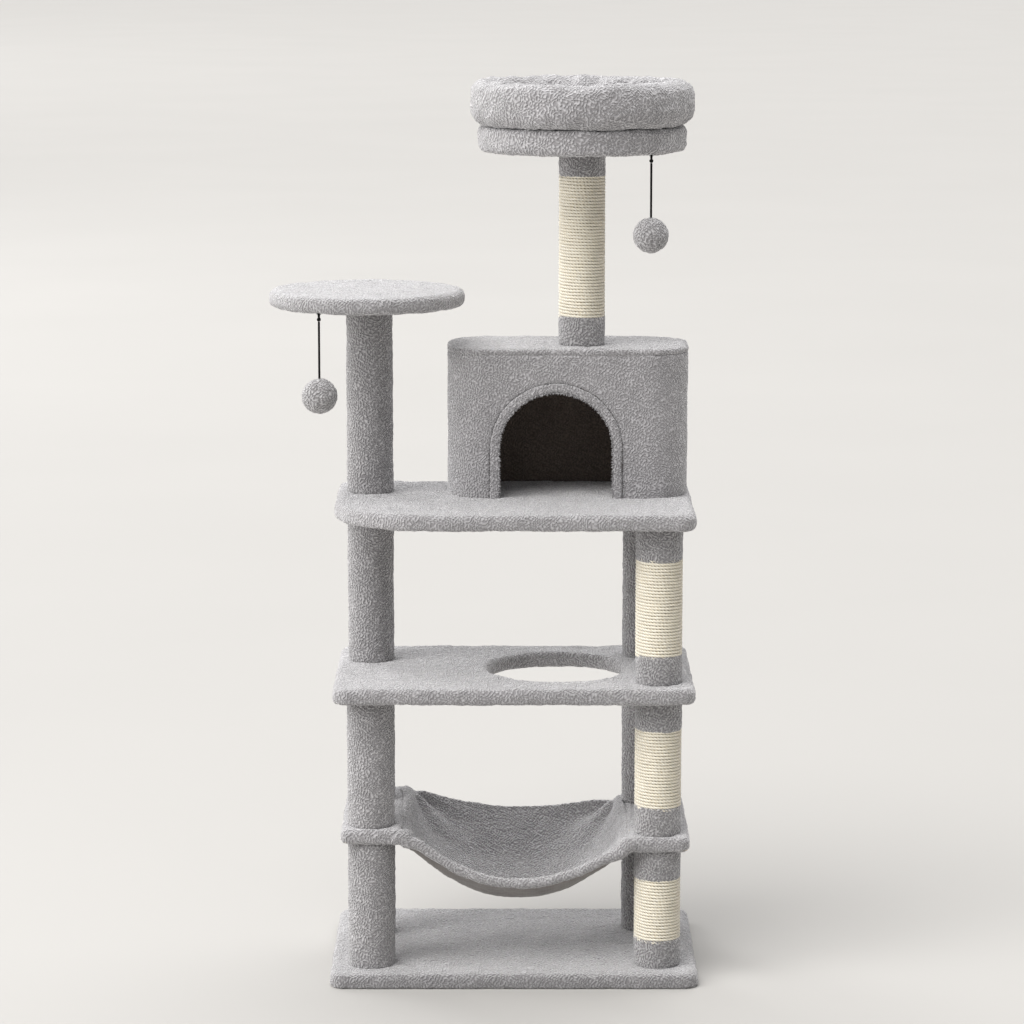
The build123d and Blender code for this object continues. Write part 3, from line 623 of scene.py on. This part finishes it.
rope_radius = 0.00252
rope_pitch = 0.0051
for number, post in enumerate(("lower_front_right", "middle_front_right", "upper_front_right", "bed")):
    low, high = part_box(f"sisal_{post}")
    foot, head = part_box(f"bands_{post}")
    centre = ((low.x + high.x) / 2, (low.y + high.y) / 2)
    tuck = rope_pitch
    height = high.z - low.z + 2 * tuck
    rope = new_piece(f"sisal_rope_{post}", bpy.data.meshes.new(f"sisal_rope_{post}"))
    grow(
        rope, winding, Centre=(centre[0], centre[1], low.z - tuck), Winding_Radius=tube_radius + rope_radius - 0.0002,
        Height=height, Turns=round(height / rope_pitch * 2) / 2, Rope_Radius=rope_radius,
        Lay=0.0165, Strand_Relief=0.2, Samples=120, Seed=30.0 + number, Material=sisal,
    )
    fit(rope, "sisal_rope", "tree", f"sisal_{post}")
    outer = (head.x - foot.x) / 2
    bands = [
        sleeve(f"plush_band_{post}_{end}", (), z0, z1, centre, outer, 40.0 + 2 * number + k)
        for k, (end, z0, z1) in enumerate((("foot", foot.z - sink, low.z), ("head", high.z, head.z + sink)))
    ]
    for band in bands:
        fit(band, "plush", "tree", f"bands_{post}")


# ---------------------------------------------------------------------------
# Hammock: one plush cloth, sewn into a pocket round a board at each side, slung
# between them, with a fat rolled hem in front and a thin one behind.
pocket_cloth = 0.004
left_low, left_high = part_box("hammock_board_left")
right_low, right_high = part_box("hammock_board_right")


def rounded_loop(low, high, corner, inset, step):
    """Points round a rectangle with round corners, anticlockwise from the middle of its right side."""
    half = ((high[0] - low[0]) / 2 - inset, (high[1] - low[1]) / 2 - inset)
    radius = max(corner - inset, 0.0005)
    middle = ((high[0] + low[0]) / 2, (high[1] + low[1]) / 2)
    turns = max(3, round(math.pi / 2 * corner / step))
    spots = []
    for quarter, (sx, sy) in enumerate(((1, 1), (-1, 1), (-1, -1), (1, -1))):
        cx, cy = middle[0] + sx * (half[0] - radius), middle[1] + sy * (half[1] - radius)
        for k in range(turns + 1):
            angle = math.pi / 2 * (quarter + k / turns)
            spots.append((cx + radius * math.cos(angle), cy + radius * math.sin(angle)))
    return spots


def pad(low, high, corner, edge, step=0.004):
    """A closed slab with round corners in plan and round edges, as plush takes over a board."""
    rings = []
    for k in range(6):
        angle = math.pi / 2 * k / 5
        rings.append((edge * (1 - math.sin(angle)), low[2] + edge * (1 - math.cos(angle))))
    rings += [(inset, low[2] + high[2] - z) for inset, z in reversed(rings)]
    shape = bmesh.new()
    loops = []
    for inset, z in rings:
        loops.append([shape.verts.new((x, y, z)) for x, y in rounded_loop(low, high, corner, inset, step)])
    for below, above in zip(loops, loops[1:]):
        for i in range(len(below)):
            j = (i + 1) % len(below)
            shape.faces.new((below[i], below[j], above[j], above[i]))
    shape.faces.new(list(reversed(loops[0])))
    shape.faces.new(loops[-1])
    mesh = bpy.data.meshes.new("pad")
    shape.to_mesh(mesh)
    shape.free()
    return mesh


pockets = []
for low, high in ((left_low, left_high), (right_low, right_high)):
    grow_by = Vector((pocket_cloth, pocket_cloth, pocket_cloth)) * 0.9
    pockets.append(pad(low - grow_by, high + grow_by, 0.014, 0.009))

edge_x = (left_high.x + 0.002, right_low.x - 0.002)
edge_z = ((left_low.z + left_high.z) / 2, (right_low.z + right_high.z) / 2)
front, back = left_low.y - pocket_cloth, left_high.y + pocket_cloth
depths = np.array([0.0, 0.17, 0.4, 0.7, 0.88, 1.0])
sags = np.array([0.0655, 0.1005, 0.1215, 0.0885, 0.048, 0.0165])
fullness = np.array([2.0, 2.2, 2.4, 2.3, 2.1, 2.0])
span = edge_x[1] - edge_x[0]


def sling_height(x, y):
    """Height of the middle of the cloth: slung between the boards, deepest behind the middle, creased at its corners."""
    u = np.clip((x - edge_x[0]) / span, 0, 1)
    v = np.clip((y - front) / (back - front), 0, 1)
    smooth = lambda values: np.interp(v, np.linspace(0, 1, 200), smoothed[values])
    sag, power = smooth("sag"), smooth("full")
    z = edge_z[0] + (edge_z[1] - edge_z[0]) * u - sag * (1 - np.abs(2 * u - 1) ** power)
    for cx, cy, turns, size, phase in (
        (edge_x[0], front + 0.012, 11.0, 0.0085, 0.6), (edge_x[1], front + 0.012, 10.0, 0.0080, 2.2),
        (edge_x[0], back, 9.0, 0.0075, 0.3), (edge_x[1], back, 9.0, 0.0075, 1.4),
    ):
        away = np.hypot(x - cx, y - cy)
        angle = np.arctan2(np.abs(y - cy), np.abs(x - cx) + 1e-6)
        z = z + size * np.sin(turns * angle + phase) * np.exp(-((away / 0.105) ** 2)) * np.clip(away / 0.03, 0, 1)
    return z


smoothed = {}
for key, values in (("sag", sags), ("full", fullness)):
    fine = np.interp(np.linspace(0, 1, 200), depths, values)
    padded_values = np.pad(fine, 12, mode="reflect", reflect_type="odd")
    smoothed[key] = np.convolve(padded_values, np.hanning(27)[1:-1] / np.hanning(27)[1:-1].sum(), mode="valid")[:200]

columns, rows = 125, 100
xs = np.linspace(edge_x[0] - 0.004, edge_x[1] + 0.004, columns)
ys = np.linspace(front + 0.006, back - 0.003, rows)
grid_x, grid_y = np.meshgrid(xs, ys)
grid_z = sling_height(grid_x, grid_y)
to_board = np.minimum(grid_x - edge_x[0], edge_x[1] - grid_x)
half_thick = 0.0028 + 0.0088 * np.exp(-((np.clip(to_board, 0, 1) / 0.014) ** 2))
slope_y, slope_x = np.gradient(grid_z, ys, xs)
tilt = np.sqrt(1 + slope_x**2 + slope_y**2)
top = np.stack([grid_x - half_thick * slope_x / tilt, grid_y - half_thick * slope_y / tilt, grid_z + half_thick / tilt], -1)
under = np.stack([grid_x + half_thick * slope_x / tilt, grid_y + half_thick * slope_y / tilt, grid_z - half_thick / tilt], -1)
spots = np.concatenate([top.reshape(-1, 3), under.reshape(-1, 3)])
count = columns * rows
faces = []
for j in range(rows - 1):
    for i in range(columns - 1):
        a = j * columns + i
        faces.append((a, a + 1, a + 1 + columns, a + columns))
        faces.append((count + a, count + a + columns, count + a + 1 + columns, count + a + 1))
rim = (
    [i for i in range(columns)]
    + [j * columns + columns - 1 for j in range(1, rows)]
    + [(rows - 1) * columns + i for i in range(columns - 2, -1, -1)]
    + [j * columns for j in range(rows - 2, 0, -1)]
)
for a, b in zip(rim, rim[1:] + rim[:1]):
    faces.append((a, count + a, count + b, b))
sling = bpy.data.meshes.new("sling")
sling.from_pydata(spots.tolist(), [], faces)


def roll(path, radii, around=14):
    """A closed tube of cloth along a path of points, with its own radius at each."""
    path = np.asarray(path, float)
    ahead = np.gradient(path, axis=0)
    ahead /= np.linalg.norm(ahead, axis=1)[:, None]
    side = np.cross(ahead, (0.0, 0.0, 1.0))
    side /= np.linalg.norm(side, axis=1)[:, None]
    up = np.cross(side, ahead)
    angles = np.linspace(0, 2 * np.pi, around, endpoint=False)
    shape = bmesh.new()
    loops = []
    for spot, s, u, radius in zip(path, side, up, radii):
        loops.append([shape.verts.new(spot + radius * (math.cos(a) * s + math.sin(a) * u)) for a in angles])
    for one, two in zip(loops, loops[1:]):
        for i in range(around):
            j = (i + 1) % around
            shape.faces.new((one[i], one[j], two[j], two[i]))
    shape.faces.new(list(reversed(loops[0])))
    shape.faces.new(loops[-1])
    bmesh.ops.recalc_face_normals(shape, faces=shape.faces)
    mesh = bpy.data.meshes.new("roll")
    shape.to_mesh(mesh)
    shape.free()
    return mesh


reach_x = np.linspace(edge_x[0] - 0.012, edge_x[1] + 0.012, 130)
from_board = np.clip(np.minimum(reach_x - edge_x[0], edge_x[1] - reach_x), 0, 1)
hem_y = front + 0.0092 + 0 * reach_x
hem_radius = 0.0084 + 0.0040 * np.exp(-((from_board / 0.022) ** 2)) + 0.0004 * np.sin(reach_x * 120)
front_hem = roll(np.stack([reach_x, hem_y, sling_height(reach_x, hem_y) + 0.0008], -1), hem_radius)
back_y = back - 0.0045 + 0 * reach_x
back_radius = 0.0042 + 0.0070 * np.exp(-((from_board / 0.016) ** 2))
back_hem = roll(np.stack([reach_x, back_y, sling_height(reach_x, back_y)], -1), back_radius)

joined = bmesh.new()
for mesh in (sling, back_hem):
    joined.from_mesh(mesh)
bmesh.ops.recalc_face_normals(joined, faces=joined.faces)
joined.to_mesh(sling)
joined.free()
hammock_parts = []
for number, (name, mesh, voxel) in enumerate(
    (("hammock_sling", sling, 0.0026), ("hammock_front_hem", front_hem, 0.0022),
     ("hammock_pocket_left", pockets[0], 0.0030), ("hammock_pocket_right", pockets[1], 0.0030))
):
    piece = skin(new_piece(name, mesh), voxel)
    grow(
        piece, pile, Curl_Height=0.0008, Curl_Size=0.008, Swell_Height=0.0010, Swell_Size=0.035, Seed=60.0 + number,
        Material=cover_plush,
    )
    fit(piece, "plush", "tree", "hammock_cloth")
    hammock_parts.append(piece)
hammock = hammock_parts[0]

# Underneath, the sling shows the plush's knitted backing: smooth, warmer and darker than the pile, with a fine rib.
backing, tree, shader = new_material("knitted_backing", 0.9, Sheen_Weight=0.3, Sheen_Roughness=0.5)
place = add(tree, "ShaderNodeTexCoord").outputs["Object"]
rib = add(tree, "ShaderNodeTexWave", {"Vector": place, "Scale": 125.0, "Distortion": 1.0}, bands_direction="X").outputs[1]
cloud = add(tree, "ShaderNodeTexNoise", {"Vector": place, "Scale": 28.0, "Detail": 4.0}).outputs[0]
share = add(tree, "ShaderNodeMath", {0: rib, 1: 0.3, 2: cloud}, operation="MULTIPLY_ADD").outputs[0]
tone = add(
    tree, "ShaderNodeMix", {"Factor": share, "A": linear("#6E6966"), "B": linear("#8F8A87")}, data_type="RGBA"
).outputs["Result"]
tree.links.new(tone, shader.inputs["Base Color"])
bump = add(tree, "ShaderNodeBump", {"Height": share, "Distance": 0.0008, "Strength": 0.5})
tree.links.new(bump.outputs[0], shader.inputs["Normal"])
hammock.data.materials.append(backing)
for face in hammock.data.polygons:
    face.material_index = int(face.normal.z < -0.1)


# ---------------------------------------------------------------------------
# Shelves: plush over board. The lower one has a round hole that a cat climbs
# through, lined with the same plush; the upper one sweeps round at its left.
for number, shelf in enumerate(("mid_shelf", "upper_shelf")):
    piece = wrap(f"{shelf}_plush_cover", f"{shelf}_cover", f"{shelf}_board")
    grow(
        piece, pile, Curl_Height=0.0009, Curl_Size=0.0085, Swell_Height=0.0012, Swell_Size=0.05, Seed=70.0 + number,
        Material=cover_plush,
    )
    fit(piece, "plush", "tree", f"{shelf}_cover")


# ---------------------------------------------------------------------------
# House: thin hardboard bent to a wall, plush outside and dark cloth inside, a
# plush binding sewn round the doorway and a padded roof with a rolled seam.
# Hardboard: pressed brown wood fibre, smooth and slightly cloudy.
hardboard, tree, shader = new_material("bent_hardboard", 0.6)
place = add(tree, "ShaderNodeTexCoord").outputs["Object"]
cloud = add(tree, "ShaderNodeTexNoise", {"Vector": place, "Scale": 120.0, "Detail": 5.0}).outputs[0]
tone = add(
    tree, "ShaderNodeMix", {"Factor": cloud, "A": linear("#6B4A30"), "B": linear("#866142")}, data_type="RGBA"
).outputs["Result"]
tree.links.new(tone, shader.inputs["Base Color"])
coat(hardboard, "house_wall")

wall_low, wall_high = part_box("house_cover")
house = wrap("house_plush_cover", "house_cover", "house_wall", sink=0.005)
grow(house, pile, Curl_Height=0.0007, Curl_Size=0.0075, Swell_Height=0.0010, Swell_Size=0.06, Seed=80.0, Material=cover_plush)
fit(house, "plush", "tree", "house_cover")

# Brushed dark lining: warm brown-black, napped, so that it shows faint soft curls.
dark_lining = plush("brown_black_lining", "#574D46", "#6E635A", 0.0042, 0.05, 0.0010, sheen=0.3)
lining_low, lining_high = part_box("house_lining")
ring_spots = rounded_loop(
    (lining_low.x + 0.0025, lining_low.y + 0.0025), (lining_high.x - 0.0025, lining_high.y - 0.0025), 0.054, 0.0, 0.006
)
door_low, door_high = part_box("house_door_binding")
door_x = (door_low.x + door_high.x) / 2
door_half = (door_high.x - door_low.x) / 2
spring_z = door_high.z - door_half
around = []
for (ax, ay), (bx, by) in zip(ring_spots, ring_spots[1:] + ring_spots[:1]):
    steps = max(1, round(math.hypot(bx - ax, by - ay) / 0.005))
    around += [(ax + (bx - ax) * k / steps, ay + (by - ay) * k / steps) for k in range(steps)]
levels = [wall_low.z + (wall_high.z - 0.016 - wall_low.z) * j / 44 for j in range(45)]
lining_mesh = quads(
    "house_dark_lining", len(around), len(levels), lambda i, j: (around[i][0], around[i][1], levels[j]), closed=True
)
cut = bmesh.new()
cut.from_mesh(lining_mesh)
doomed = []
for face in cut.faces:
    middle = face.calc_center_median()
    inside = middle.y < (lining_low.y + lining_high.y) / 2 and abs(middle.x - door_x) < door_half - 0.004
    arch = math.hypot(middle.x - door_x, max(0.0, middle.z - spring_z)) < door_half - 0.004
    if inside and arch:
        doomed.append(face)
bmesh.ops.delete(cut, geom=doomed, context="FACES")
cut.to_mesh(lining_mesh)
cut.free()
lining = thicken(new_piece("house_dark_lining", lining_mesh), 0.0014, 1.0)
grow(lining, pile, Curl_Height=0.0002, Curl_Size=0.01, Swell_Height=0.0006, Swell_Size=0.05, Seed=85.0, Material=dark_lining)
fit(lining, "lining_cloth", "tree", "house_lining")

binding = wrap("doorway_plush_binding", "house_door_binding", voxel=0.0022, sink=0.004)
grow(binding, pile, Curl_Height=0.0008, Curl_Size=0.006, Swell_Height=0.0006, Swell_Size=0.03, Seed=90.0, Material=cover_plush)
fit(binding, "plush", "tree", "house_door_binding")

# The binding is cut plush, so its inner edge is a row of short tufts.
tufts, given = new_tree(
    "tuft_row", Geometry="Geometry", Spacing="Float", Length="Float", Width="Float", Centre="Vector", Seed="Int",
    Material="Material",
)
path = add(tufts, "GeometryNodeMeshToCurve", {"Mesh": given["Geometry"]}).outputs[0]
path = add(tufts, "GeometryNodeResampleCurve", {"Curve": path, "Length": given["Spacing"]}, mode="LENGTH").outputs[0]
inward = add(tufts, "ShaderNodeVectorMath", {0: given["Centre"], 1: add(tufts, "GeometryNodeInputPosition").outputs[0]}, operation="SUBTRACT").outputs[0]
inward = add(tufts, "ShaderNodeVectorMath", {0: inward, 1: (1.0, 1.0, 0.0)}, operation="MINIMUM").outputs[0]
inward = add(tufts, "ShaderNodeVectorMath", {0: inward}, operation="NORMALIZE").outputs[0]
lean = add(
    tufts, "FunctionNodeRandomValue", {0: (-0.7, -1.0, -0.7), 1: (0.7, 0.2, 0.7), "Seed": given["Seed"]},
    data_type="FLOAT_VECTOR",
).outputs[0]
aim = add(tufts, "ShaderNodeVectorMath", {0: inward, 1: lean}).outputs[0]
turn = add(tufts, "FunctionNodeAlignRotationToVector", {"Vector": aim}, axis="Z").outputs[0]
tuft = add(
    tufts, "GeometryNodeMeshCone",
    {"Vertices": 5, "Radius Top": 0.0002, "Radius Bottom": given["Width"], "Depth": given["Length"]},
).outputs[0]
size = add(tufts, "FunctionNodeRandomValue", {2: 0.6, 3: 1.2, "Seed": given["Seed"]}, data_type="FLOAT").outputs[1]
row = add(tufts, "GeometryNodeInstanceOnPoints", {"Points": path, "Instance": tuft, "Rotation": turn, "Scale": size}).outputs[0]
close_tree(tufts, row, given["Material"])

foot = [spot.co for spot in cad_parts["house_door_binding"].data.vertices if spot.co.z < door_low.z + 0.002]
opening_half = min(abs(spot.x - door_x) for spot in foot)
edge = [(-opening_half, z - spring_z) for z in np.linspace(door_low.z, spring_z, 12)[:-1]]
edge += [(-opening_half * math.cos(a), opening_half * math.sin(a)) for a in np.linspace(0, math.pi, 60)]
edge += [(opening_half, z - spring_z) for z in np.linspace(spring_z, door_low.z, 12)[1:]]
joined = bmesh.new()
for depth in (0.0015, 0.0035, 0.0055):
    corners = [joined.verts.new((door_x + x * 1.008, door_low.y + depth, spring_z + z)) for x, z in edge]
    for one, two in zip(corners, corners[1:]):
        joined.edges.new((one, two))
mesh = bpy.data.meshes.new("doorway_tufts")
joined.to_mesh(mesh)
joined.free()
doorway_tufts = new_piece("doorway_tufts", mesh)
grow(
    doorway_tufts, tufts, Spacing=0.0023, Length=0.0042, Width=0.0011, Centre=(door_x, door_low.y, spring_z), Seed=7,
    Material=cover_plush,
)
fit(doorway_tufts, "plush", "tree", "house_door_binding")

roof_low, roof_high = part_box("house_roof_cover")
seam_spots = rounded_loop((wall_low.x, wall_low.y), (wall_high.x, wall_high.y), 0.065, 0.0035, 0.004)
seam_spots = np.array(seam_spots + seam_spots[:1])
seam_z = roof_high.z - 0.0055
seam = roll(np.column_stack([seam_spots, np.full(len(seam_spots), seam_z)]), np.full(len(seam_spots), 0.0050), 10)
roof = wrap("house_roof_plush_cover", "house_roof_cover", "house_roof_board", extra=(seam,))
grow(roof, pile, Curl_Height=0.0008, Curl_Size=0.0085, Swell_Height=0.0012, Swell_Size=0.05, Seed=95.0, Material=cover_plush)
fit(roof, "plush", "tree", "house_roof_cover")


# ---------------------------------------------------------------------------
# Perch: a round board covered in plush, on the left post.
perch = wrap("perch_plush_cover", "perch_cover", "perch_board")
grow(perch, pile, Curl_Height=0.0009, Curl_Size=0.0085, Swell_Height=0.0012, Swell_Size=0.05, Seed=100.0, Material=cover_plush)
fit(perch, "plush", "tree", "perch_cover")


# ---------------------------------------------------------------------------
# Bed: a round covered board with a plush ring sewn on top of it, stuffed with
# polyester fibre, so it bulges over its seams and puckers along the inner one.
bed_plush = plush("grey_bed_plush", "#7D7A7C", "#B1AFB1", 0.0050, 0.05, 0.0030)
bed = wrap("bed_plush_cover", "bed_cover", "bed_board")
grow(bed, pile, Curl_Height=0.0011, Curl_Size=0.009, Swell_Height=0.0014, Swell_Size=0.045, Seed=105.0, Material=bed_plush)
fit(bed, "plush", "tree", "bed_cover")

ring_low, ring_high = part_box("bed_ring")
ring_centre = (ring_low + ring_high) / 2
tube = 0.045
ring_radius = (ring_high.x - ring_low.x) / 2 - tube
ring_z = ring_high.z - tube
turns, around = 150, 48
slack = 0.0035


def ring_point(i, j):
    """A slack tube bent to a ring, flat underneath, its inner seam drawn in at each stitch."""
    angle = 2 * math.pi * i / turns
    across = 2 * math.pi * j / around
    gather = 0.5 + 0.5 * math.cos(19 * angle + 1.3 * math.sin(3 * angle))
    pucker = math.exp(-(((across - 2.35) / 0.55) ** 2)) * gather
    radius = tube - slack - 0.010 * pucker
    rise = max(0.0, math.sin(across))
    out = ring_radius + radius * math.cos(across) + 0.015 * rise**2
    z = max(ring_z + radius * math.sin(across) * (1.08 if rise else 1.0), ring_low.z + 0.0005)
    return ring_centre.x + out * math.cos(angle), ring_centre.y + out * math.sin(angle), z


ring_mesh = bpy.data.meshes.new("bed_stuffed_ring")
ring_mesh.from_pydata(
    [ring_point(i, j) for i in range(turns) for j in range(around)], [],
    [
        (i * around + j, ((i + 1) % turns) * around + j, ((i + 1) % turns) * around + (j + 1) % around, i * around + (j + 1) % around)
        for i in range(turns)
        for j in range(around)
    ],
)
ring = new_piece("bed_stuffed_ring", ring_mesh)
before = np.array([v.co for v in ring_mesh.vertices])
held = ring.vertex_groups.new(name="sewn")
for i in range(turns):
    for j in range(around):
        across = 2 * math.pi * j / around
        low_seam = ring_z + (tube - slack) * math.sin(across) < ring_low.z + 0.004
        tuft = i % 7 == 0 and abs(across - 2.35) < 0.10
        if low_seam or tuft:
            held.add([i * around + j], 1.0, "REPLACE")
stuffing = ring.modifiers.new("stuffing", "CLOTH")
cloth = stuffing.settings
cloth.quality = 6
cloth.mass = 0.25
cloth.use_pressure = True
cloth.uniform_pressure_force = 6.0
cloth.shrink_min = -0.07
cloth.tension_stiffness = 12
cloth.compression_stiffness = 12
cloth.shear_stiffness = 5
cloth.bending_stiffness = 0.4
cloth.vertex_group_mass = "sewn"
cloth.effector_weights.gravity = 0.0
stuffing.point_cache.frame_start = 1
stuffing.point_cache.frame_end = 20
for step in range(1, 21):
    scene.frame_set(step)
settle(ring)
scene.frame_set(1)
after = np.array([v.co for v in ring.data.vertices])
move = after - before
size = np.linalg.norm(move, axis=1, keepdims=True)
cap = 0.007
move *= np.minimum(1.0, cap / np.maximum(size, 1e-9))
move[:, :2] *= 0.5
after = before + move
ring.data.vertices.foreach_set("co", after.ravel())
ring.vertex_groups.clear()
finer = ring.modifiers.new("finer", "SUBSURF")
finer.levels = finer.render_levels = 1
settle(ring)
grow(ring, pile, Curl_Height=0.0012, Curl_Size=0.009, Swell_Height=0.0020, Swell_Size=0.042, Seed=110.0, Material=bed_plush)
fit(ring, "stuffed_plush", "tree", "bed_ring")


# ---------------------------------------------------------------------------
# Toys: a light foam ball in a skin of two plush cups, hung by its cord from a
# loop tied round a wire staple in the board above.
toy_plush = plush("grey_toy_plush", "#747172", "#ACAAAB", 0.0044, 0.03, 0.0030)
coat(braided_elastic, "toy_left_loop", "toy_right_loop")
for number, side in enumerate(("left", "right")):
    low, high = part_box(f"toy_{side}_ball")
    centre = (low + high) / 2
    shape = bmesh.new()
    bmesh.ops.create_icosphere(shape, subdivisions=5, radius=(high.x - low.x) / 2)
    for spot in shape.verts:
        away = spot.co.x * 0.96 + spot.co.y * 0.28 + 0.006
        spot.co *= 1 - 0.045 * math.exp(-((away / 0.0020) ** 2))
        spot.co += centre
    mesh = bpy.data.meshes.new(f"plush_ball_{side}")
    shape.to_mesh(mesh)
    shape.free()
    ball = new_piece(f"plush_ball_{side}", mesh)
    grow(
        ball, pile, Curl_Height=0.0010, Curl_Size=0.0075, Swell_Height=0.0006, Swell_Size=0.03, Seed=120.0 + number,
        Material=toy_plush,
    )
    fit(ball, "toy_plush", f"{side}_ball", f"toy_{side}_ball")
    cord, leaves, length = hanging_cords[side]
